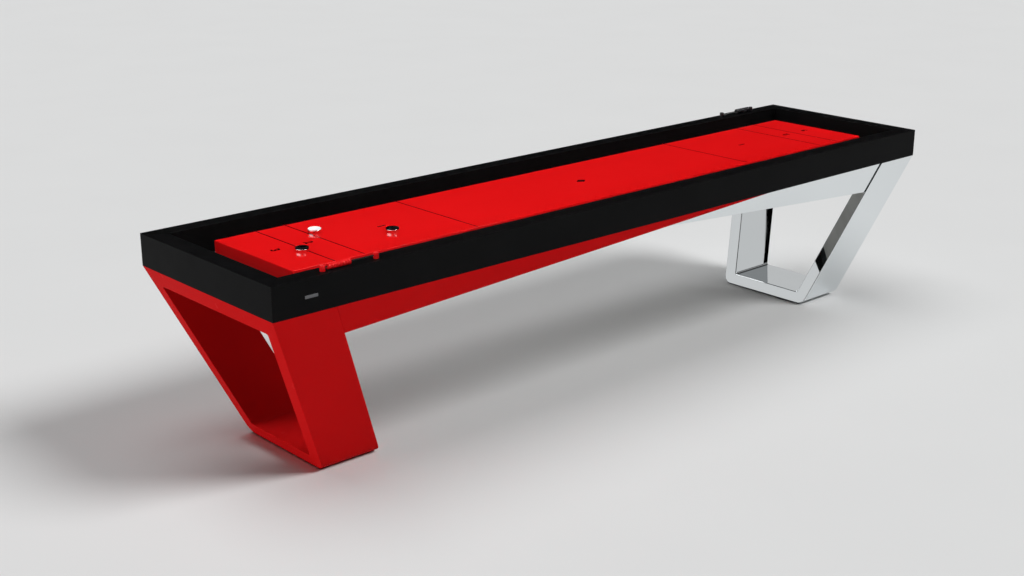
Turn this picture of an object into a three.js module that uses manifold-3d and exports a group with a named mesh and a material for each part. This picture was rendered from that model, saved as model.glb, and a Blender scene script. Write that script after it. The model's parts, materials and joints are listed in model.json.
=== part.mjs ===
// Table shuffleboard for the home: a long shallow cabinet with a raised playing board inside it,
// carried by two slanted leg frames, with a bead scorer on each long rail and three weights in play.
//
// Millimetres, +Z up. The origin is on the floor under the middle of the table. +X runs along the
// table, from the red leg frame towards the mirror-polished one. -Y is the near long side.

import * as THREE from 'three';
import { mergeVertices } from 'three/addons/utils/BufferGeometryUtils.js';
import Module from 'manifold-3d';

const wasm = await Module();
wasm.setup();

// Driving dimensions: cabinet
const CABINET_LENGTH = 3658;        // twelve feet
const CABINET_WIDTH = 861;
const CABINET_HEIGHT = 124;
const RAIL_WIDTH = 75;
const FLOOR_BOARD_THICKNESS = 15;
const CARPET_THICKNESS = 4;

// Driving dimensions: playing board
const BOARD_LENGTH = 3254;
const BOARD_WIDTH = 508;            // twenty inches
const BOARD_THICKNESS = 57;
const BOARD_DROP = 28.5;            // from the rail's top down to the playing surface
const BEARER_WIDTH = 60;
const BEARER_SPACING = 1250;

// Driving dimensions: leg frames
const FOOT_PAD_HEIGHT = 5;          // how far a levelling foot stands out below its leg
const LEG_HEIGHT = 684;
const LEG_DEPTH = 256;              // along X
const LEG_LEAN = 299;               // how far the leg's base is set in along X from its top
const LEG_BASE_HALF_WIDTH = 243;    // the leg's top is as wide as the cabinet
const LEG_TOP_BAR = 68;
const LEG_BASE_BAR = 48;
const LEG_SIDE_WIDTH = 64.5;        // measured level, along Y
const LEG_CORNER_RADIUS = 45;

// Driving dimensions: the long tapered skirt plates under the cabinet's sides
const SKIRT_THICKNESS = 6;
const SKIRTS = {
  red: { end: -1, depth: 115, reach: 2298, inset: 0 },
  mirror: { end: 1, depth: 139, reach: 1969, inset: 6.5 },
};

// Driving dimensions: levelling feet
const FOOT_PAD_RADIUS = 30;
const FOOT_PAD_EASE = 2;            // bevel round the pad's lower edge
const FOOT_STEM_RADIUS = 6;
const FOOT_STEM_TOP = 44;
const FOOT_Y = 150;

// Driving dimensions: bead scorers
const SCORER_Y = 398;
const POST_OUTER_X = 1604;
const POST_INNER_X = 1380;
const POST_RADIUS = 10;
const POST_HEIGHT = 21;
const POST_EASE = 1.6;              // bevel round the post's top edge
const ROD_RADIUS = 2;
const ROD_ABOVE_RAIL = 12.5;
const ROD_SEAT = 6;                 // how far the rod runs into each post
const BEAD_RADIUS = 11;
const BEAD_WIDTH = 11.6;
const BEAD_PITCH = 11.9;
const BEAD_COUNT = 8;
const FIRST_BEAD_X = 1579;
const BEAD_CLEARANCE = 0.1;

// Driving dimensions: weights
const WEIGHT_RADIUS = 25;
const WEIGHT_HEIGHT = 16;
const CAP_THICKNESS = 4;
const CAP_BOSS_RADIUS = 12;
const CAP_BOSS_DEPTH = 6;
const CAP_LIP = 0.5;                // how far the cap's edge is set in from the body's
const CAP_DIMPLE_RADIUS = 5;
const CAP_DIMPLE_DEPTH = 0.6;
const WEIGHT_EASE = 1.2;            // bevel round the weight's edges
const WAX_FILM = 0.2;
const WEIGHTS = [
  { name: 'white_weight', x: -1293, y: 98, cap: 0xf2f2f0 },
  { name: 'black_weight_1', x: -1468, y: -77, cap: 0x0b0b0c },
  { name: 'black_weight_2', x: -1072, y: -89, cap: 0x0b0b0c },
];

// Driving dimensions: blank badges
const BADGE = { x: 1674, drop: 64, length: 52, height: 11, thickness: 1.5 };

const GAP = 0.3;                    // between a fitted piece and its seat

// Levels and places worked out from the dimensions above
const LEG_BASE_Z = FOOT_PAD_HEIGHT;
const CABINET_Z = LEG_BASE_Z + LEG_HEIGHT;
const RAIL_TOP_Z = CABINET_Z + CABINET_HEIGHT;
const FLOOR_BOARD_TOP_Z = CABINET_Z + FLOOR_BOARD_THICKNESS;
const BOARD_TOP_Z = RAIL_TOP_Z - BOARD_DROP;
const BOARD_BOTTOM_Z = BOARD_TOP_Z - BOARD_THICKNESS;
const HALF_LENGTH = CABINET_LENGTH / 2;
const HALF_WIDTH = CABINET_WIDTH / 2;
const WELL_HALF_LENGTH = HALF_LENGTH - RAIL_WIDTH;
const WELL_HALF_WIDTH = HALF_WIDTH - RAIL_WIDTH;
const LEAN = LEG_LEAN / LEG_HEIGHT;
const SPLAY = (HALF_WIDTH - LEG_BASE_HALF_WIDTH) / LEG_HEIGHT;
const ENDS = [['left', -1], ['right', 1]];
const SIDES = [['near', -1], ['far', 1]];

// Finishes
const BLACK_LACQUER = { color: 0x0c0c0d, roughness: 0.35, metalness: 0 };
const RED_LACQUER = { color: 0xa81216, roughness: 0.22, metalness: 0 };
const RED_BOARD = { color: 0xd81418, roughness: 0.12, metalness: 0 };
const MIRROR_STEEL = { color: 0xd5dade, roughness: 0.03, metalness: 1 };
const SATIN_STEEL = { color: 0x808284, roughness: 0.3, metalness: 1 };
const BLACKENED_STEEL = { color: 0x1a1a1b, roughness: 0.4, metalness: 1 };
const BRIGHT_CHROME = { color: 0xdfe2e5, roughness: 0.08, metalness: 1 };
const BLACK_CARPET = { color: 0x08080a, roughness: 0.95, metalness: 0 };
const PLYWOOD = { color: 0xa3a099, roughness: 0.7, metalness: 0 };
const BLACK_RUBBER = { color: 0x111113, roughness: 0.8, metalness: 0 };
const RED_PLASTIC = { color: 0xc4161b, roughness: 0.25, metalness: 0 };
const CHARCOAL_PLASTIC = { color: 0x242527, roughness: 0.3, metalness: 0 };

const table = new THREE.Group();

function add(name, geometry, finish) {
  const mesh = new THREE.Mesh(geometry, new THREE.MeshStandardMaterial(finish));
  mesh.name = name;
  table.add(mesh);
  return mesh;
}

// A block between two corners.
function block(low, high) {
  const size = high.map((value, i) => value - low[i]);
  const geometry = new THREE.BoxGeometry(...size);
  geometry.translate(...low.map((value, i) => value + size[i] / 2));
  return geometry;
}

// An outline in X and Y, drawn up from z = low to z = high.
function plate(points, low, high) {
  const shape = new THREE.Shape(points.map(([x, y]) => new THREE.Vector2(x, y)));
  const geometry = new THREE.ExtrudeGeometry(shape, { depth: high - low, bevelEnabled: false });
  geometry.translate(0, 0, low);
  return geometry;
}

// A solid turned about the Z axis from a profile of [radius, height] points.
function turned(profile, segments = 32) {
  const points = profile.map(([radius, height]) => new THREE.Vector2(radius, height));
  const geometry = new THREE.LatheGeometry(points, segments);
  geometry.rotateX(Math.PI / 2);
  return geometry;
}

function toSolid(geometry) {
  const bare = geometry.clone();
  bare.deleteAttribute('normal');
  bare.deleteAttribute('uv');
  const merged = mergeVertices(bare, 1e-4);
  const vertProperties = merged.attributes.position.array;
  const triVerts = new Uint32Array(merged.index.array);
  return new wasm.Manifold(new wasm.Mesh({ numProp: 3, vertProperties, triVerts }));
}

function cut(geometry, tools) {
  let solid = toSolid(geometry);
  for (const tool of tools) {
    solid = solid.subtract(toSolid(tool));
  }
  const mesh = solid.getMesh();
  const result = new THREE.BufferGeometry();
  result.setAttribute('position', new THREE.BufferAttribute(mesh.vertProperties, 3));
  result.setIndex(new THREE.BufferAttribute(mesh.triVerts, 1));
  result.computeVertexNormals();
  return result;
}

// Cabinet: four boards mitred at the corners, and the board that closes its underside.
function addCabinet() {
  for (const [name, side] of SIDES) {
    const corners = [
      [-HALF_LENGTH, side * HALF_WIDTH],
      [HALF_LENGTH, side * HALF_WIDTH],
      [WELL_HALF_LENGTH, side * WELL_HALF_WIDTH],
      [-WELL_HALF_LENGTH, side * WELL_HALF_WIDTH],
    ];
    add(`rail_${name}`, plate(corners, CABINET_Z, RAIL_TOP_Z), BLACK_LACQUER);
  }
  for (const [name, end] of ENDS) {
    const corners = [
      [end * HALF_LENGTH, -HALF_WIDTH],
      [end * HALF_LENGTH, HALF_WIDTH],
      [end * WELL_HALF_LENGTH, WELL_HALF_WIDTH],
      [end * WELL_HALF_LENGTH, -WELL_HALF_WIDTH],
    ];
    add(`rail_${name}_end`, plate(corners, CABINET_Z, RAIL_TOP_Z), BLACK_LACQUER);
  }
  const low = [-WELL_HALF_LENGTH, -WELL_HALF_WIDTH, CABINET_Z];
  const high = [WELL_HALF_LENGTH, WELL_HALF_WIDTH, FLOOR_BOARD_TOP_Z];
  add('cabinet_floor', block(low, high), PLYWOOD);
}

// The gutter runs all the way round the playing board and is lined with carpet.
function addGutterCarpets() {
  const top = FLOOR_BOARD_TOP_Z + CARPET_THICKNESS;
  const edge = BOARD_WIDTH / 2;
  for (const [name, side] of SIDES) {
    const y = [side * edge, side * WELL_HALF_WIDTH].sort((a, b) => a - b);
    const low = [-WELL_HALF_LENGTH, y[0], FLOOR_BOARD_TOP_Z];
    const high = [WELL_HALF_LENGTH, y[1], top];
    add(`gutter_carpet_${name}`, block(low, high), BLACK_CARPET);
  }
  for (const [name, end] of ENDS) {
    const x = [end * BOARD_LENGTH / 2, end * WELL_HALF_LENGTH].sort((a, b) => a - b);
    const low = [x[0], -edge + GAP, FLOOR_BOARD_TOP_Z];
    const high = [x[1], edge - GAP, top];
    add(`gutter_carpet_${name}_end`, block(low, high), BLACK_CARPET);
  }
}

// The board lies on three bearers, so that it stands clear of the gutter all round.
function addPlayingBoard() {
  const half = [BOARD_LENGTH / 2, BOARD_WIDTH / 2];
  add('playing_board', block([-half[0], -half[1], BOARD_BOTTOM_Z], [...half, BOARD_TOP_Z]), RED_BOARD);
  ['left', 'middle', 'right'].forEach((name, i) => {
    const x = (i - 1) * BEARER_SPACING;
    const low = [x - BEARER_WIDTH / 2, -half[1] + GAP, FLOOR_BOARD_TOP_Z];
    const high = [x + BEARER_WIDTH / 2, half[1] - GAP, BOARD_BOTTOM_Z];
    add(`board_bearer_${name}`, block(low, high), PLYWOOD);
  });
}

function addBadges() {
  for (const [name, side] of SIDES) {
    const face = side * HALF_WIDTH;
    const y = [face, face + side * BADGE.thickness].sort((a, b) => a - b);
    const z = RAIL_TOP_Z - BADGE.drop;
    const low = [side * BADGE.x - BADGE.length / 2, y[0], z - BADGE.height / 2];
    const high = [side * BADGE.x + BADGE.length / 2, y[1], z + BADGE.height / 2];
    add(`badge_${name}`, block(low, high), SATIN_STEEL);
  }
}

// A leg frame's outline lies in the YZ plane. This draws such an outline out along X over the leg's
// depth, then leans it so that the leg's base is set in from the cabinet's end.
function legPiece(shape, end) {
  const geometry = new THREE.ExtrudeGeometry(shape, {
    depth: LEG_DEPTH, bevelEnabled: false, curveSegments: 10,
  });
  const alongX = new THREE.Matrix4().makeBasis(
    new THREE.Vector3(0, 1, 0), new THREE.Vector3(0, 0, 1), new THREE.Vector3(1, 0, 0),
  );
  geometry.applyMatrix4(alongX);
  geometry.translate(end < 0 ? -HALF_LENGTH : HALF_LENGTH - LEG_DEPTH, 0, -CABINET_Z);
  geometry.applyMatrix4(new THREE.Matrix4().makeShear(0, 0, 0, 0, end * LEAN, 0));
  geometry.translate(0, 0, CABINET_Z);
  return geometry;
}

// Half the leg frame's width at a height.
function legHalfWidth(z) {
  return HALF_WIDTH - SPLAY * (CABINET_Z - z);
}

function outline(points) {
  return new THREE.Shape(points.map(([y, z]) => new THREE.Vector2(y, z)));
}

// The base bar, with its two lower corners rounded.
function baseOutline(top) {
  const bottom = LEG_BASE_Z;
  const half = LEG_BASE_HALF_WIDTH;
  const slope = Math.atan(SPLAY);
  const turn = Math.PI / 2 - slope;
  const centreY = half - LEG_CORNER_RADIUS * Math.tan(turn / 2);
  const centreZ = bottom + LEG_CORNER_RADIUS;
  const shape = new THREE.Shape();
  shape.moveTo(legHalfWidth(top), top);
  shape.lineTo(-legHalfWidth(top), top);
  shape.absarc(-centreY, centreZ, LEG_CORNER_RADIUS, Math.PI + slope, Math.PI * 1.5, false);
  shape.absarc(centreY, centreZ, LEG_CORNER_RADIUS, Math.PI * 1.5, 2 * Math.PI - slope, false);
  shape.closePath();
  return shape;
}

function addLeg(colour, end, finish) {
  const barZ = CABINET_Z - LEG_TOP_BAR;
  const baseZ = LEG_BASE_Z + LEG_BASE_BAR;
  const top = legHalfWidth(CABINET_Z);
  const bar = legHalfWidth(barZ);
  const base = legHalfWidth(baseZ);
  const barOutline = outline([[-top, CABINET_Z], [-bar, barZ], [bar, barZ], [top, CABINET_Z]]);
  add(`${colour}_leg_top_bar`, legPiece(barOutline, end), finish);
  for (const [name, side] of SIDES) {
    const points = [
      [side * bar, barZ],
      [side * (bar - LEG_SIDE_WIDTH), barZ],
      [side * (base - LEG_SIDE_WIDTH), baseZ],
      [side * base, baseZ],
    ];
    add(`${colour}_leg_side_${name}`, legPiece(outline(points), end), finish);
  }
  const baseX = end * (HALF_LENGTH - LEG_LEAN - LEG_DEPTH / 2);
  const seats = SIDES.map(([, side]) => {
    const radius = FOOT_STEM_RADIUS + GAP;
    const seat = turned([[0, 0], [radius, 0], [radius, FOOT_STEM_TOP + 1], [0, FOOT_STEM_TOP + 1]], 24);
    return seat.translate(baseX, side * FOOT_Y, 0);
  });
  add(`${colour}_leg_base`, cut(legPiece(baseOutline(baseZ), end), seats), finish);
  for (const [name, side] of SIDES) {
    const foot = turned([
      [0, 0], [FOOT_PAD_RADIUS - FOOT_PAD_EASE, 0], [FOOT_PAD_RADIUS, FOOT_PAD_EASE],
      [FOOT_PAD_RADIUS, FOOT_PAD_HEIGHT - GAP], [FOOT_STEM_RADIUS, FOOT_PAD_HEIGHT - GAP],
      [FOOT_STEM_RADIUS, FOOT_STEM_TOP], [0, FOOT_STEM_TOP],
    ], 24);
    add(`${colour}_foot_${name}`, foot, BLACK_RUBBER).position.set(baseX, side * FOOT_Y, 0);
  }
}

// A skirt plate carries on the leg's sloping outer face along the cabinet as a long taper.
function addSkirts(colour, finish) {
  const { end, depth, reach, inset } = SKIRTS[colour];
  const topX = HALF_LENGTH - LEG_DEPTH - GAP;
  const points = [[topX, 0], [topX - LEAN * depth, -depth], [topX - reach, 0]];
  for (const [name, side] of SIDES) {
    const shape = new THREE.Shape(points.map(([x, z]) => new THREE.Vector2(end * x, z)));
    const geometry = new THREE.ExtrudeGeometry(shape, { depth: SKIRT_THICKNESS, bevelEnabled: false });
    geometry.rotateX(Math.PI / 2);
    const outerY = side * (HALF_WIDTH - inset);
    geometry.translate(0, side < 0 ? outerY + SKIRT_THICKNESS : outerY, 0);
    geometry.applyMatrix4(new THREE.Matrix4().makeShear(0, 0, 0, 0, 0, side * SPLAY));
    geometry.translate(0, 0, CABINET_Z);
    add(`${colour}_skirt_${name}`, geometry, finish);
  }
}

// A scorer: two posts on the rail, a rod between them, and beads that slide along the rod.
// The two scorers are each other turned half round, so one sign places every piece.
function addScorer(name, sign, finish) {
  const rodZ = RAIL_TOP_Z + ROD_ABOVE_RAIL;
  const y = sign * SCORER_Y;
  const seatRadius = ROD_RADIUS + GAP;
  const postProfile = [
    [0, 0], [POST_RADIUS, 0], [POST_RADIUS, POST_HEIGHT - POST_EASE],
    [POST_RADIUS - POST_EASE, POST_HEIGHT], [0, POST_HEIGHT],
  ];
  for (const [place, x, inward] of [['outer', POST_OUTER_X, -1], ['inner', POST_INNER_X, 1]]) {
    const bore = new THREE.CylinderGeometry(seatRadius, seatRadius, POST_RADIUS, 16);
    bore.rotateZ(Math.PI / 2);
    bore.translate(sign * inward * (POST_RADIUS * 1.5 - ROD_SEAT - GAP), 0, ROD_ABOVE_RAIL);
    const post = add(`${name}_scorer_post_${place}`, cut(turned(postProfile, 24), [bore]), finish);
    post.position.set(sign * x, y, RAIL_TOP_Z);
  }
  const rodLength = POST_OUTER_X - POST_INNER_X - 2 * (POST_RADIUS - ROD_SEAT);
  const rod = new THREE.CylinderGeometry(ROD_RADIUS, ROD_RADIUS, rodLength, 20);
  rod.rotateZ(Math.PI / 2);
  const rodMesh = add(`${name}_scorer_rod`, rod, BLACKENED_STEEL);
  rodMesh.position.set(sign * (POST_OUTER_X + POST_INNER_X) / 2, y, rodZ);
  const bore = ROD_RADIUS + BEAD_CLEARANCE;
  const half = BEAD_WIDTH / 2;
  const beadProfile = [
    [bore, -half], [BEAD_RADIUS, -half], [BEAD_RADIUS, half], [bore, half], [bore, -half],
  ];
  for (let i = 0; i < BEAD_COUNT; i += 1) {
    const bead = turned(beadProfile, 20);
    bead.rotateY(Math.PI / 2);
    const mesh = add(`${name}_scorer_bead_${i + 1}`, bead, finish);
    mesh.position.set(sign * (FIRST_BEAD_X - i * BEAD_PITCH), y, rodZ);
  }
}

// A weight: a steel body with a coloured cap screwed into it.
function addWeight({ name, x, y, cap }) {
  const capZ = WEIGHT_HEIGHT - CAP_THICKNESS;
  const bodyTop = capZ - GAP;
  const recess = CAP_BOSS_RADIUS + GAP;
  const body = turned([
    [0, 0], [WEIGHT_RADIUS - WEIGHT_EASE, 0], [WEIGHT_RADIUS, WEIGHT_EASE],
    [WEIGHT_RADIUS, bodyTop - WEIGHT_EASE], [WEIGHT_RADIUS - WEIGHT_EASE, bodyTop],
    [recess, bodyTop], [recess, capZ - CAP_BOSS_DEPTH - GAP], [0, capZ - CAP_BOSS_DEPTH - GAP],
  ]);
  const capEdge = WEIGHT_RADIUS - CAP_LIP;
  const disc = turned([
    [0, capZ - CAP_BOSS_DEPTH], [CAP_BOSS_RADIUS, capZ - CAP_BOSS_DEPTH], [CAP_BOSS_RADIUS, capZ],
    [capEdge, capZ], [capEdge, WEIGHT_HEIGHT - WEIGHT_EASE], [capEdge - WEIGHT_EASE, WEIGHT_HEIGHT],
    [CAP_DIMPLE_RADIUS, WEIGHT_HEIGHT], [CAP_DIMPLE_RADIUS, WEIGHT_HEIGHT - CAP_DIMPLE_DEPTH],
    [0, WEIGHT_HEIGHT - CAP_DIMPLE_DEPTH],
  ]);
  const z = BOARD_TOP_Z + WAX_FILM;
  add(`${name}_body`, body, BRIGHT_CHROME).position.set(x, y, z);
  add(`${name}_cap`, disc, { color: cap, roughness: 0.25, metalness: 0 }).position.set(x, y, z);
}

addCabinet();
addGutterCarpets();
addPlayingBoard();
addBadges();
addLeg('red', -1, RED_LACQUER);
addLeg('mirror', 1, MIRROR_STEEL);
addSkirts('red', RED_LACQUER);
addSkirts('mirror', MIRROR_STEEL);
addScorer('near', -1, RED_PLASTIC);
addScorer('far', 1, CHARCOAL_PLASTIC);
WEIGHTS.forEach(addWeight);

export default table;
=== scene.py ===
"""Looks of a table shuffleboard: lacquered cabinet, gloss red playing board, red and mirror leg
frames, bead scorers and weights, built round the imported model. Metres, +Z up."""

import json
import math

import bmesh
import bpy
from mathutils import Matrix, Vector, noise


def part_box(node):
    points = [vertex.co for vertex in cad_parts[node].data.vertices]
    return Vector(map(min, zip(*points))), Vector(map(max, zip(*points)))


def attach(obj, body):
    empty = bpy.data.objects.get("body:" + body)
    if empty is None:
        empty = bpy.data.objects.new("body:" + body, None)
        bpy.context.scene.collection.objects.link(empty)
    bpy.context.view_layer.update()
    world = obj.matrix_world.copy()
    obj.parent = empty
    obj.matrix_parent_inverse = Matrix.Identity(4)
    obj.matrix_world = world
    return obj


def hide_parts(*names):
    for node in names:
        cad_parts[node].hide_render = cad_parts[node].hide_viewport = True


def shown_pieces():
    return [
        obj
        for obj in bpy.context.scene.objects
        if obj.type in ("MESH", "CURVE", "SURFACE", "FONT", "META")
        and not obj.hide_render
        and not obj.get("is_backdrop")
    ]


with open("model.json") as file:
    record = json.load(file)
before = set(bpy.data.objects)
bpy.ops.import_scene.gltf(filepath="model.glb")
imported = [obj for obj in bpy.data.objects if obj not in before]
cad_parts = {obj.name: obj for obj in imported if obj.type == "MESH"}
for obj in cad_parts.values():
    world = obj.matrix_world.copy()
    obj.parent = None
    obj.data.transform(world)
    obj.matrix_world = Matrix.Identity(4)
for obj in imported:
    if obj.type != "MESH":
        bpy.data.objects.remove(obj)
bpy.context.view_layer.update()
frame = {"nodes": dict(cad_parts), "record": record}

MM = 0.001
RAIL_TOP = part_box("rail_near")[1].z
BOARD_LOW, BOARD_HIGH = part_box("playing_board")
SIDES = ("near", "far")

# Camera: the photograph's place, direction and lens
CAMERA_ABOVE_RAIL = 1.475
CAMERA_XY = (-4.286, -4.321)
CAMERA_YAW = 0.8374
CAMERA_PITCH = 0.3149
CAMERA_LENS = 51.9

# Playing board markings
LINE_WIDTH = 5 * MM
LINE_X = (1.450, 1.321, 0.792)
DIGIT_X = (("3", 1.530), ("2", 1.387), ("1", 1.056))
DIGIT_HEIGHT = 38 * MM
DIGIT_WEIGHT = 0.035                # how much the font's strokes are thickened
PRINT_THICKNESS = 0.12 * MM
PRINT_INSET = 2.2 * MM              # the lines stop short of the board's rounded edges
LOZENGE_HALF = 26 * MM
LOZENGE_SQUASH = 0.75

# Cabinet and leg frames
RAIL_EASE = 0.9 * MM
BOARD_EASE = 2 * MM
BADGE_EASE = 0.4 * MM
FLOOR_EASE = 0.8 * MM
BEARER_EASE = 1 * MM
SKIRT_EASE = 0.6 * MM
CARPET_CELL = 12 * MM
CARPET_PILE = 0.8 * MM
PILE_WAVES = 60                     # per metre
LEG_CORNERS = (1 * MM, 45 * MM, 45 * MM, 1 * MM)        # outer radii, from one top corner round
LEG_FILLETS = (6 * MM, 12 * MM, 12 * MM, 6 * MM)        # inner radii
LEG_FINISH = (("red", -1, "red_lacquer", 1.5 * MM), ("mirror", 1, "mirror_steel", 4 * MM))
FOOT_STEM = 6 * MM

# Scorers and weights
BEADS = 8
BEAD_BORE = 2.1 * MM
BEAD_ROUND = 2.2 * MM
POST_ROUND = 2.4 * MM
ROD_EASE = 0.4 * MM
SCORER_SLOTS = {"near": "scorer_red", "far": "scorer_charcoal"}
WEIGHT_FOOT_ROUND = 2 * MM
WEIGHT_TOP_ROUND = 1.2 * MM
SOCKET_RADIUS = 12.3 * MM           # the bore that takes the cap's boss
SOCKET_DEPTH = 5.9 * MM
BOSS_RADIUS = 12 * MM
CAP_UNDERSIDE = 12 * MM             # above the weight's foot
CAP_ROUND = 1.4 * MM

# Studio: each light's tilt from overhead, azimuth and half angle in degrees, its strength, and
# the lit group it is for, where it doesn't light everything
LIGHTS = (
    ("key", (46, 310, 12), 2.20, None),
    ("overhead", (15, 108, 24.5), 1.37, None),
    ("end_fill", (64, 170, 38), 2.40, "rest"),
    ("side_fill", (70, 275, 20), 0.18, "rest"),
    ("red_end_fill", (74, 155, 30), 3.20, "red"),
    ("red_side_fill", (70, 275, 20), 0.28, "red"),
    ("board_fill", (64, 170, 38), 1.75, "board"),
    ("board_side_fill", (70, 275, 20), 0.60, "board"),
    ("mirror_card_left", (75, 140, 30), 0.50, "mirror"),
    ("mirror_card_right", (72, 47, 22), 0.24, "mirror"),
    ("mirror_card_front", (81.8, -51.45, 12), 0.078, "mirror"),
    ("mirror_card_high", (57, -24, 14), 0.05, "mirror"),
)
# Sky: how far from overhead it is at full strength, and where it ends, in degrees
SKY_FULL = 30
SKY_NONE = 55
SKY_STRENGTH = 0.06
# Pieces that start with these words make up a lit group; "rest" holds the others
LIT_GROUPS = {
    "mirror": ("mirror",),
    "red": ("red",),
    "board": ("playing_board", "board_print", "rail_near", "rail_far"),
}
FLOOR_HALF = 60
BACKDROP_RADIUS = 55
BACKDROP_HEIGHT = 60
BACKDROP_THICKNESS = 0.1
BACKDROP_TONE = (0.705, 0.715, 0.71, 1)


# ---------------------------------------------------------------- materials

def noise_node(tree, coordinate, scale, detail=4.0, stretch=(1, 1, 1)):
    """A noise texture in the model's frame, in features per metre."""
    mapping = tree.nodes.new("ShaderNodeMapping")
    mapping.inputs["Scale"].default_value = stretch
    tree.links.new(coordinate, mapping.inputs["Vector"])
    texture = tree.nodes.new("ShaderNodeTexNoise")
    texture.inputs["Scale"].default_value = scale
    texture.inputs["Detail"].default_value = detail
    tree.links.new(mapping.outputs["Vector"], texture.inputs["Vector"])
    return texture.outputs["Fac"]


def spread(tree, value, low, high):
    """Maps a noise value, which stays near the middle, on to low..high."""
    node = tree.nodes.new("ShaderNodeMapRange")
    node.inputs["From Min"].default_value = 0.3
    node.inputs["From Max"].default_value = 0.7
    node.inputs["To Min"].default_value = low
    node.inputs["To Max"].default_value = high
    tree.links.new(value, node.inputs["Value"])
    return node.outputs["Result"]


def material(name, tones, roughness, tone_scale=6.0, rough_scale=12.0, bump=None,
             stretch=(1, 1, 1), **sockets):
    """A Principled finish: two tones mixed by a broad noise, roughness by another, and fine bumps.
    bump is (features per metre, height in metres); sockets are uniform values on the shader."""
    made = bpy.data.materials.new(name)
    made.use_nodes = True
    tree = made.node_tree
    shader = tree.nodes["Principled BSDF"]
    coordinate = tree.nodes.new("ShaderNodeTexCoord").outputs["Object"]
    mix = tree.nodes.new("ShaderNodeMix")
    mix.data_type = "RGBA"
    mix.inputs[6].default_value = (*tones[0], 1)
    mix.inputs[7].default_value = (*tones[1], 1)
    tone = noise_node(tree, coordinate, tone_scale, stretch=stretch)
    tree.links.new(spread(tree, tone, 0, 1), mix.inputs[0])
    tree.links.new(mix.outputs[2], shader.inputs["Base Color"])
    rough = noise_node(tree, coordinate, rough_scale, stretch=stretch)
    tree.links.new(spread(tree, rough, *roughness), shader.inputs["Roughness"])
    if bump:
        height = noise_node(tree, coordinate, bump[0], detail=2.0, stretch=stretch)
        node = tree.nodes.new("ShaderNodeBump")
        node.inputs["Distance"].default_value = bump[1]
        tree.links.new(height, node.inputs["Height"])
        tree.links.new(node.outputs["Normal"], shader.inputs["Normal"])
    for socket, value in sockets.items():
        shader.inputs[socket.replace("_", " ")].default_value = value
    return made


def make_materials():
    """One finish for each of the record's material slots, and the print on the board."""
    return {
        "black_lacquer": material(
            "black_lacquer", ((0.0036, 0.0036, 0.0038), (0.0046, 0.0046, 0.0048)), (0.32, 0.42),
            bump=(900, 0.02 * MM), Specular_IOR_Level=0.025),
        "plywood": material(
            "plywood", ((0.30, 0.29, 0.27), (0.38, 0.37, 0.35)), (0.6, 0.8), tone_scale=9,
            bump=(260, 0.15 * MM), stretch=(0.12, 1, 1)),
        "gutter_carpet": material(
            "gutter_carpet", ((0.004, 0.004, 0.005), (0.012, 0.012, 0.013)), (0.9, 1.0),
            tone_scale=500, bump=(1400, 0.8 * MM), Specular_IOR_Level=0.1, Sheen_Weight=0.2),
        "playing_surface": material(
            "playing_surface", ((0.69, 0.0062, 0.0070), (0.71, 0.0072, 0.0080)), (0.05, 0.09),
            tone_scale=3, bump=(35, 0.015 * MM), Specular_IOR_Level=0.14),
        "badge_steel": material(
            "badge_steel", ((0.12, 0.12, 0.125), (0.18, 0.18, 0.185)), (0.3, 0.4), Metallic=1.0,
            tone_scale=60, bump=(700, 0.01 * MM), stretch=(0.03, 1, 1)),
        "red_lacquer": material(
            "red_lacquer", ((0.470, 0.0058, 0.0064), (0.490, 0.0064, 0.0072)), (0.20, 0.28),
            tone_scale=4, bump=(700, 0.015 * MM), Specular_IOR_Level=0.003),
        "mirror_steel": material(
            "mirror_steel", ((0.83, 0.865, 0.88), (0.85, 0.885, 0.90)), (0.005, 0.02), Metallic=1.0,
            tone_scale=3, rough_scale=5, bump=(4, 0.02 * MM)),
        "foot_rubber": material(
            "foot_rubber", ((0.010, 0.010, 0.011), (0.020, 0.020, 0.021)), (0.6, 0.8),
            tone_scale=80, bump=(1500, 0.05 * MM)),
        "rod_steel": material(
            "rod_steel", ((0.004, 0.004, 0.004), (0.008, 0.008, 0.008)), (0.35, 0.5),
            tone_scale=90, bump=(900, 0.01 * MM), stretch=(0.05, 1, 1), Specular_IOR_Level=0.15),
        "scorer_red": material(
            "scorer_red", ((0.66, 0.008, 0.010), (0.74, 0.010, 0.012)), (0.22, 0.32),
            tone_scale=70, bump=(900, 0.02 * MM), Specular_IOR_Level=0.08),
        "scorer_charcoal": material(
            "scorer_charcoal", ((0.020, 0.020, 0.022), (0.034, 0.034, 0.037)), (0.2, 0.3),
            tone_scale=70, bump=(900, 0.02 * MM), Specular_IOR_Level=0.4),
        "weight_chrome": material(
            "weight_chrome", ((0.80, 0.81, 0.83), (0.88, 0.89, 0.90)), (0.04, 0.10), Metallic=1.0,
            tone_scale=60, bump=(500, 0.006 * MM)),
        "cap_white": material(
            "cap_white", ((0.95, 0.95, 0.94), (0.98, 0.98, 0.97)), (0.2, 0.3),
            tone_scale=90, bump=(900, 0.02 * MM)),
        "cap_black": material(
            "cap_black", ((0.003, 0.003, 0.004), (0.006, 0.006, 0.007)), (0.22, 0.32),
            tone_scale=90, bump=(900, 0.02 * MM), Specular_IOR_Level=0.04),
        "board_print": material(
            "board_print", ((0.006, 0.003, 0.003), (0.012, 0.004, 0.004)), (0.12, 0.2),
            tone_scale=150, bump=(900, 0.01 * MM), Specular_IOR_Level=0.08),
    }


# ---------------------------------------------------------------- mesh helpers

def placed(name, data):
    """A new object in the scene."""
    made = bpy.data.objects.new(name, data)
    bpy.context.scene.collection.objects.link(made)
    return made


def mesh_from(name, maker):
    """A mesh from a bmesh, which is used up."""
    mesh = bpy.data.meshes.new(name)
    maker.to_mesh(mesh)
    maker.free()
    return mesh


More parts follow.
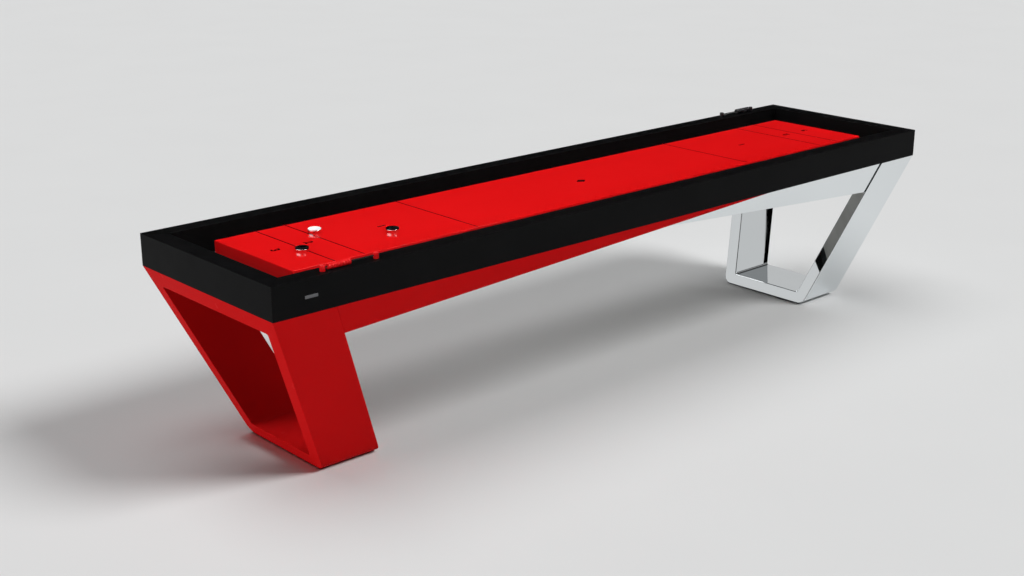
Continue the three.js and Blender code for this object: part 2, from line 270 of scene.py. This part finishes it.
def piece_from(name, maker, slot, body="table", replaces=(), finish=None, smooth=True):
    """A new piece from a bmesh that rides on a body and stands for the CAD nodes it replaces."""
    maker.normal_update()
    piece = placed(name, mesh_from(name, maker))
    piece.data.materials.append(finish or MATERIALS[slot])
    if smooth:
        piece.data.shade_smooth()
        weighted = piece.modifiers.new("weighted", "WEIGHTED_NORMAL")
        weighted.keep_sharp = True
    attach(piece, body)
    for node in replaces:
        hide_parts(node)
    return piece


def soften(maker, width, segments=2, sharpest=math.radians(12)):
    """Rounds every edge whose two faces turn by more than an angle."""
    edges = [e for e in maker.edges if e.is_manifold and e.calc_face_angle() > sharpest]
    bmesh.ops.bevel(maker, geom=edges, offset=width, segments=segments, profile=0.5,
                    affect="EDGES", clamp_overlap=True)


def eased(node, slot, width, segments=2):
    """A fixed CAD node with its edges eased: its triangles are merged to flat faces first."""
    maker = bmesh.new()
    maker.from_mesh(frame["nodes"][node].data)
    bmesh.ops.remove_doubles(maker, verts=maker.verts, dist=0.01 * MM)
    bmesh.ops.dissolve_limit(maker, angle_limit=math.radians(1), verts=maker.verts,
                             edges=maker.edges)
    soften(maker, width, segments)
    piece_from(f"{node}_eased", maker, slot, replaces=[node])


def lathe(profile, centre, segments=96, axis="Z"):
    """A bmesh turned about an axis through centre, from (radius, height) points that start and end
    on the axis or close on themselves."""
    maker = bmesh.new()
    turn = [2 * math.pi * i / segments for i in range(segments)]
    rings = []
    for radius, height in profile:
        steps = turn if radius else [0]
        rings.append([maker.verts.new((radius * math.cos(a), radius * math.sin(a), height))
                      for a in steps])
    closed = profile[0][0] != 0
    for low, high in zip(rings, rings[1:] + ([rings[0]] if closed else [])):
        for i in range(segments):
            j = (i + 1) % segments
            face = list(dict.fromkeys((low[i % len(low)], low[j % len(low)],
                                       high[j % len(high)], high[i % len(high)])))
            if len(face) > 2:
                maker.faces.new(face)
    if axis == "X":
        bmesh.ops.rotate(maker, verts=maker.verts, matrix=Matrix.Rotation(math.pi / 2, 3, "Y"))
    bmesh.ops.translate(maker, verts=maker.verts, vec=centre)
    bmesh.ops.recalc_face_normals(maker, faces=maker.faces)
    return maker


def arc(centre, radius, start, end, steps):
    """Profile points on an arc, angles in degrees."""
    angles = [math.radians(start + (end - start) * i / steps) for i in range(steps + 1)]
    return [(centre[0] + radius * math.cos(a), centre[1] + radius * math.sin(a)) for a in angles]


def foot_of(low, high):
    """The middle of a box's underside."""
    return Vector(((low.x + high.x) / 2, (low.y + high.y) / 2, low.z))


def box_maker(low, high):
    """A box between two corners."""
    maker = bmesh.new()
    bmesh.ops.create_cube(maker, size=1)
    for vertex in maker.verts:
        vertex.co = Vector(low[i] + (vertex.co[i] + 0.5) * (high[i] - low[i]) for i in range(3))
    return maker


def joined(makers):
    """Several bmeshes as one."""
    whole = bmesh.new()
    for maker in makers:
        mesh = mesh_from("part", maker)
        whole.from_mesh(mesh)
        bpy.data.meshes.remove(mesh)
    return whole


# ---------------------------------------------------------------- leg frames

def rounded_loop(corners, radii, steps=12):
    """A closed outline with an arc of the same number of points at each corner."""
    points = []
    for i, corner in enumerate(corners):
        here = Vector(corner)
        back = (Vector(corners[i - 1]) - here).normalized()
        ahead = (Vector(corners[(i + 1) % len(corners)]) - here).normalized()
        half = back.angle(ahead) / 2
        centre = here + (back + ahead).normalized() * radii[i] / math.sin(half)
        first = here + back * radii[i] / math.tan(half) - centre
        last = here + ahead * radii[i] / math.tan(half) - centre
        sweep = first.angle(last)
        for step in range(steps + 1):
            share = step / steps
            offset = first * math.sin((1 - share) * sweep) + last * math.sin(share * sweep)
            points.append(centre + offset / math.sin(sweep))
    return points


def make_leg(colour, end, slot, rim):
    """One continuous frame in place of its four CAD blocks: large outer corners at the base, small
    fillets inside, and eased rims. Its outlines are level sections that shift along X with height,
    because the frame leans."""
    bar_low, bar_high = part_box(f"{colour}_leg_top_bar")
    side_low, side_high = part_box(f"{colour}_leg_side_far")
    top, floor = bar_high.z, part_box(f"{colour}_leg_base")[0].z
    bar_height, side_height = top - bar_low.z, side_high.z - side_low.z
    splay = (bar_high.y - side_high.y) / (top - side_high.z)
    base_half = bar_high.y - splay * (top - floor)
    side_width = side_high.y - (side_low.y + splay * side_height)
    inner_top = side_high.y - side_width
    inner_base = side_low.y
    outer = rounded_loop([(-bar_high.y, top), (-base_half, floor), (base_half, floor),
                          (bar_high.y, top)], LEG_CORNERS)
    inner = rounded_loop([(-inner_top, side_high.z), (-inner_base, side_low.z),
                          (inner_base, side_low.z), (inner_top, side_high.z)], LEG_FILLETS)
    bar_run = bar_high.x - bar_low.x
    lean = (side_high.x - side_low.x - bar_run) / (side_height - bar_height)
    depth = bar_run - lean * bar_height
    outermost = bar_high.x if end > 0 else bar_low.x
    inward = outermost - end * depth
    maker = bmesh.new()
    loops = []
    for x in (outermost, inward):
        for outline in (outer, inner):
            loops.append([maker.verts.new((x - end * lean * (top - z), y, z)) for y, z in outline])
    outer_a, inner_a, outer_b, inner_b = loops
    bands = ((outer_a, inner_a), (inner_b, outer_b), (outer_b, outer_a), (inner_a, inner_b))
    for first, second in bands:
        for i in range(len(outer)):
            j = (i + 1) % len(outer)
            maker.faces.new((first[i], first[j], second[j], second[i]))
    bmesh.ops.recalc_face_normals(maker, faces=maker.faces)
    soften(maker, rim, segments=3, sharpest=math.radians(40))
    nodes = [f"{colour}_leg_{part}" for part in ("top_bar", "side_near", "side_far", "base")]
    piece_from(f"{colour}_leg_frame", maker, slot, replaces=nodes)


def make_feet(colour):
    """Levelling feet: a domed pad and a stem."""
    for side in SIDES:
        node = f"{colour}_foot_{side}"
        low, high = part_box(node)
        pad, top = (high.x - low.x) / 2, high.z - low.z
        profile = [(0, 0), (pad - 3 * MM, 0)]
        profile += arc((pad - 2 * MM, 2 * MM), 2 * MM, -90, 0, 6)
        profile += arc((pad - 2 * MM, 2.6 * MM), 2 * MM, 0, 90, 6)
        profile += [(FOOT_STEM, 4.65 * MM), (FOOT_STEM, top - 0.8 * MM),
                    (FOOT_STEM - 0.8 * MM, top), (0, top)]
        maker = lathe(profile, foot_of(low, high), 64)
        piece_from(f"{node}_pad", maker, "foot_rubber", node, [node])


# ---------------------------------------------------------------- cabinet and board

def make_carpets():
    """Gutter lining: a thin sheet whose pile is raised a little unevenly."""
    for place in ("near", "far", "left_end", "right_end"):
        node = f"gutter_carpet_{place}"
        low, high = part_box(node)
        size = high - low
        cells = [round(size[i] / CARPET_CELL) for i in range(2)]
        maker = bmesh.new()
        bmesh.ops.create_grid(maker, x_segments=cells[0], y_segments=cells[1], size=0.5)
        for vertex in maker.verts:
            spot = Vector(low[i] + (vertex.co[i] + 0.5) * size[i] for i in range(2))
            wave = noise.noise(Vector((spot.x * PILE_WAVES, spot.y * PILE_WAVES, 3.1)))
            vertex.co = Vector((spot.x, spot.y, high.z - CARPET_PILE + CARPET_PILE * 0.9 * wave))
        result = bmesh.ops.extrude_face_region(maker, geom=maker.faces[:])
        for item in result["geom"]:
            if isinstance(item, bmesh.types.BMVert):
                item.co.z = low.z + 0.1 * MM
        bmesh.ops.recalc_face_normals(maker, faces=maker.faces)
        piece = piece_from(f"{node}_pile", maker, "gutter_carpet", replaces=[node])


def text_maker(text, height):
    """A flat digit as a bmesh, centred, its tall side along +Y, from Blender's own plain font."""
    curve = bpy.data.curves.new("digit", "FONT")
    curve.body = text
    curve.align_x = "CENTER"
    curve.resolution_u = 6
    curve.extrude = 0.5
    curve.offset = DIGIT_WEIGHT
    holder = bpy.data.objects.new("digit", curve)
    mesh = bpy.data.meshes.new_from_object(holder)
    bpy.data.objects.remove(holder)
    bpy.data.curves.remove(curve)
    maker = bmesh.new()
    maker.from_mesh(mesh)
    bpy.data.meshes.remove(mesh)
    bmesh.ops.remove_doubles(maker, verts=maker.verts, dist=1e-5)
    low = [min(v.co[i] for v in maker.verts) for i in range(3)]
    high = [max(v.co[i] for v in maker.verts) for i in range(3)]
    scale = height / (high[1] - low[1])
    for vertex in maker.verts:
        flat = [(vertex.co[i] - (low[i] + high[i]) / 2) * scale for i in range(2)]
        vertex.co = Vector((*flat, PRINT_THICKNESS if vertex.co.z > 0 else 0))
    return maker


def make_print():
    """The board's markings: at each end the foul and scoring lines and their digits, and a plain
    lozenge in the middle."""
    for end, side in ((-1, "left"), (1, "right")):
        marks = []
        for x in LINE_X:
            low = (end * x - LINE_WIDTH / 2, BOARD_LOW.y + PRINT_INSET, BOARD_HIGH.z)
            high = (end * x + LINE_WIDTH / 2, BOARD_HIGH.y - PRINT_INSET,
                    BOARD_HIGH.z + PRINT_THICKNESS)
            marks.append(box_maker(low, high))
        for text, x in DIGIT_X:
            digit = text_maker(text, DIGIT_HEIGHT)
            bmesh.ops.rotate(digit, verts=digit.verts,
                             matrix=Matrix.Rotation(end * math.pi / 2, 3, "Z"))
            bmesh.ops.translate(digit, verts=digit.verts, vec=(end * x, 0, BOARD_HIGH.z))
            marks.append(digit)
        on_board(joined(marks), f"board_print_{side}")
    lozenge = lathe([(0, 0), (LOZENGE_HALF, 0), (LOZENGE_HALF, PRINT_THICKNESS),
                     (0, PRINT_THICKNESS)], (0, 0, 0), 4)
    bmesh.ops.scale(lozenge, verts=lozenge.verts, vec=(1, LOZENGE_SQUASH, 1))
    bmesh.ops.translate(lozenge, verts=lozenge.verts, vec=(0, 0, BOARD_HIGH.z))
    on_board(lozenge, "board_print_middle")


def on_board(maker, name):
    """A piece of print, with its own finish in place of the board's."""
    piece_from(name, maker, "playing_surface", finish=MATERIALS["board_print"], smooth=False)


def make_cabinet():
    """Rails, board, badges and the hidden plywood, with their carpet and print."""
    for place in ("near", "far", "left_end", "right_end"):
        eased(f"rail_{place}", "black_lacquer", RAIL_EASE)
    eased("playing_board", "playing_surface", BOARD_EASE, segments=3)
    for side in SIDES:
        eased(f"badge_{side}", "badge_steel", BADGE_EASE)
    eased("cabinet_floor", "plywood", FLOOR_EASE)
    for place in ("left", "middle", "right"):
        eased(f"board_bearer_{place}", "plywood", BEARER_EASE)
    make_carpets()
    make_print()


# ---------------------------------------------------------------- scorers and weights

def make_post(node, slot):
    """A turned post with a rounded top that dips slightly in the middle."""
    low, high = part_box(node)
    radius, height = (high.x - low.x) / 2, high.z - low.z
    profile = [(0, 0), (radius - 0.5 * MM, 0), (radius, 0.5 * MM)]
    profile += arc((radius - POST_ROUND, height - POST_ROUND), POST_ROUND, 0, 90, 8)
    profile += [(radius - 4 * MM, height - 0.25 * MM), (0, height - 0.25 * MM)]
    piece_from(f"{node}_turned", lathe(profile, foot_of(low, high), 64), slot, replaces=[node])


def make_rod(node):
    """A round rod with chamfered ends."""
    low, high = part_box(node)
    half, radius = (high.x - low.x) / 2, (high.z - low.z) / 2
    profile = [(0, -half), (radius - ROD_EASE, -half), (radius, ROD_EASE - half),
               (radius, half - ROD_EASE), (radius - ROD_EASE, half), (0, half)]
    piece_from(f"{node}_turned", lathe(profile, (low + high) / 2, 32, "X"), "rod_steel",
               replaces=[node])


def make_bead(node, body, slot):
    """A barrel-shaped bead with a bored hole."""
    low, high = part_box(node)
    half, radius = (high.x - low.x) / 2, (high.z - low.z) / 2
    profile = [(BEAD_BORE, -half), (radius - BEAD_ROUND, -half)]
    profile += arc((radius - BEAD_ROUND, -half + BEAD_ROUND), BEAD_ROUND, -90, 0, 6)
    profile += arc((radius - BEAD_ROUND, half - BEAD_ROUND), BEAD_ROUND, 0, 90, 6)
    profile += [(BEAD_BORE, half)]
    piece_from(f"{node}_turned", lathe(profile, (low + high) / 2, 48, "X"), slot, body, [node])


def make_scorers():
    """A rod, two posts and a row of beads on each long rail."""
    for side, slot in SCORER_SLOTS.items():
        make_rod(f"{side}_scorer_rod")
        for place in ("outer", "inner"):
            make_post(f"{side}_scorer_post_{place}", slot)
        for i in range(1, BEADS + 1):
            make_bead(f"{side}_scorer_bead_{i}", f"{side}_bead_{i}", slot)


def make_weight(name, cap_slot):
    """A chromed body with a socket, and the cap that sits in it, with a raised rim and a dimple."""
    low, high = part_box(f"{name}_body")
    cap_low, cap_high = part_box(f"{name}_cap")
    centre = foot_of(low, high)
    radius, height = (high.x - low.x) / 2, high.z - low.z
    body = [(0, 0), (radius - 4 * MM, 0)]
    body += arc((radius - WEIGHT_FOOT_ROUND, WEIGHT_FOOT_ROUND), WEIGHT_FOOT_ROUND, -90, 0, 6)
    body += arc((radius - WEIGHT_TOP_ROUND, height - WEIGHT_TOP_ROUND), WEIGHT_TOP_ROUND, 0, 90, 5)
    body += [(SOCKET_RADIUS, height), (SOCKET_RADIUS, height - SOCKET_DEPTH),
             (0, height - SOCKET_DEPTH)]
    piece_from(f"{name}_turned", lathe(body, centre), "weight_chrome", name, [f"{name}_body"])
    edge, top, boss = (cap_high.x - cap_low.x) / 2, cap_high.z - low.z, cap_low.z - low.z
    cap = [(0, boss), (BOSS_RADIUS, boss), (BOSS_RADIUS, CAP_UNDERSIDE),
           (edge - 0.6 * MM, CAP_UNDERSIDE), (edge, CAP_UNDERSIDE + 0.6 * MM)]
    cap += arc((edge - CAP_ROUND, top - CAP_ROUND), CAP_ROUND, 0, 90, 6)
    cap += arc((edge - 4.5 * MM, top - 1.1 * MM), 1.2 * MM, 60, 120, 4)
    cap += [(edge - 7 * MM, top - 0.45 * MM), (7 * MM, top - 0.45 * MM), (6.2 * MM, top - 1.1 * MM),
            (5 * MM, top - 1.1 * MM), (4.2 * MM, top - 0.3 * MM), (0, top - 0.15 * MM)]
    piece_from(f"{name}_cap_turned", lathe(cap, centre), cap_slot, f"{name}_cap", [f"{name}_cap"])


# ---------------------------------------------------------------- studio

def make_camera():
    """The camera, at the photograph's place and angle."""
    camera = placed("camera", bpy.data.cameras.new("camera"))
    camera.data.lens = CAMERA_LENS
    camera.data.clip_end = 200
    camera.location = (*CAMERA_XY, RAIL_TOP + CAMERA_ABOVE_RAIL)
    ahead = Vector((math.cos(CAMERA_YAW) * math.cos(CAMERA_PITCH),
                    math.sin(CAMERA_YAW) * math.cos(CAMERA_PITCH), -math.sin(CAMERA_PITCH)))
    camera.rotation_euler = ahead.to_track_quat("-Z", "Y").to_euler()
    bpy.context.scene.camera = camera


def make_sky():
    """A dim soft patch overhead in a dark sky, so that polished surfaces keep their colour."""
    world = bpy.data.worlds.new("studio")
    bpy.context.scene.world = world
    world.use_nodes = True
    tree = world.node_tree
    direction = tree.nodes.new("ShaderNodeTexCoord").outputs["Generated"]
    upward = tree.nodes.new("ShaderNodeVectorMath")
    upward.operation = "DOT_PRODUCT"
    upward.inputs[1].default_value = (0, 0, 1)
    tree.links.new(direction, upward.inputs[0])
    ramp = tree.nodes.new("ShaderNodeMapRange")
    ramp.interpolation_type = "SMOOTHSTEP"
    ramp.inputs["From Min"].default_value = math.cos(math.radians(SKY_NONE))
    ramp.inputs["From Max"].default_value = math.cos(math.radians(SKY_FULL))
    ramp.inputs["To Max"].default_value = SKY_STRENGTH
    tree.links.new(upward.outputs["Value"], ramp.inputs["Value"])
    background = tree.nodes["Background"]
    background.inputs["Color"].default_value = (0.98, 0.99, 1.0, 1)
    tree.links.new(ramp.outputs["Result"], background.inputs["Strength"])


def group(lit):
    """A collection of the pieces in a lit group."""
    found = bpy.data.collections.new(lit)
    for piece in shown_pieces():
        home = [g for g, starts in LIT_GROUPS.items() if piece.name.startswith(starts)]
        if (home or ["rest"])[0] == lit:
            found.objects.link(piece)
    return found


def make_backdrop():
    """A pale ring round the floor that only the camera sees, for views that take in the horizon."""
    outside = BACKDROP_RADIUS + BACKDROP_THICKNESS
    maker = lathe([(BACKDROP_RADIUS, 0), (BACKDROP_RADIUS, BACKDROP_HEIGHT),
                   (outside, BACKDROP_HEIGHT), (outside, 0)], (0, 0, 0))
    ring = placed("backdrop", mesh_from("backdrop", maker))
    glow = bpy.data.materials.new("backdrop")
    glow.use_nodes = True
    shader = glow.node_tree.nodes["Principled BSDF"]
    shader.inputs["Base Color"].default_value = (0, 0, 0, 1)
    shader.inputs["Specular IOR Level"].default_value = 0
    shader.inputs["Emission Color"].default_value = BACKDROP_TONE
    shader.inputs["Emission Strength"].default_value = 1
    ring.data.materials.append(glow)
    for kind in ("diffuse", "glossy", "transmission", "volume_scatter", "shadow"):
        setattr(ring, f"visible_{kind}", False)
    ring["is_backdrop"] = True


def make_studio():
    """A wide pale floor, the backdrop, the sky and the lights."""
    maker = bmesh.new()
    bmesh.ops.create_grid(maker, x_segments=2, y_segments=2, size=FLOOR_HALF)
    floor = placed("studio_floor", mesh_from("studio_floor", maker))
    floor.data.materials.append(material(
        "studio_floor", ((0.745, 0.75, 0.75), (0.755, 0.76, 0.76)), (0.8, 0.9),
        tone_scale=1.5, Specular_IOR_Level=0.0))
    floor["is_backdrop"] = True
    make_backdrop()
    make_sky()
    for name, (tilt, azimuth, half_angle), energy, lit in LIGHTS:
        lamp = placed(name, bpy.data.lights.new(name, "SUN"))
        lamp.data.energy = energy
        lamp.data.angle = math.radians(2 * half_angle)
        lamp.rotation_euler = (0, math.radians(tilt), math.radians(azimuth))
        if lit:
            lamp.light_linking.receiver_collection = group(lit)
        if lit == "board":
            lamp.visible_glossy = False     # seen along the board it would wash the red out
    view = bpy.context.scene.view_settings
    view.view_transform = "Standard"
    view.look = "None"


# ---------------------------------------------------------------- the table

MATERIALS = make_materials()
make_camera()
slots = {part["node"]: part["material_slot"] for part in frame["record"]["subparts"]}
for name, node in frame["nodes"].items():
    node.data.materials.clear()
    node.data.materials.append(MATERIALS[slots[name]])
make_cabinet()
for colour, end, slot, rim in LEG_FINISH:
    make_leg(colour, end, slot, rim)
    for side in SIDES:
        eased(f"{colour}_skirt_{side}", slot, SKIRT_EASE)
    make_feet(colour)
make_scorers()
for name, slot in (("white_weight", "cap_white"), ("black_weight_1", "cap_black"),
                   ("black_weight_2", "cap_black")):
    make_weight(name, slot)
make_studio()
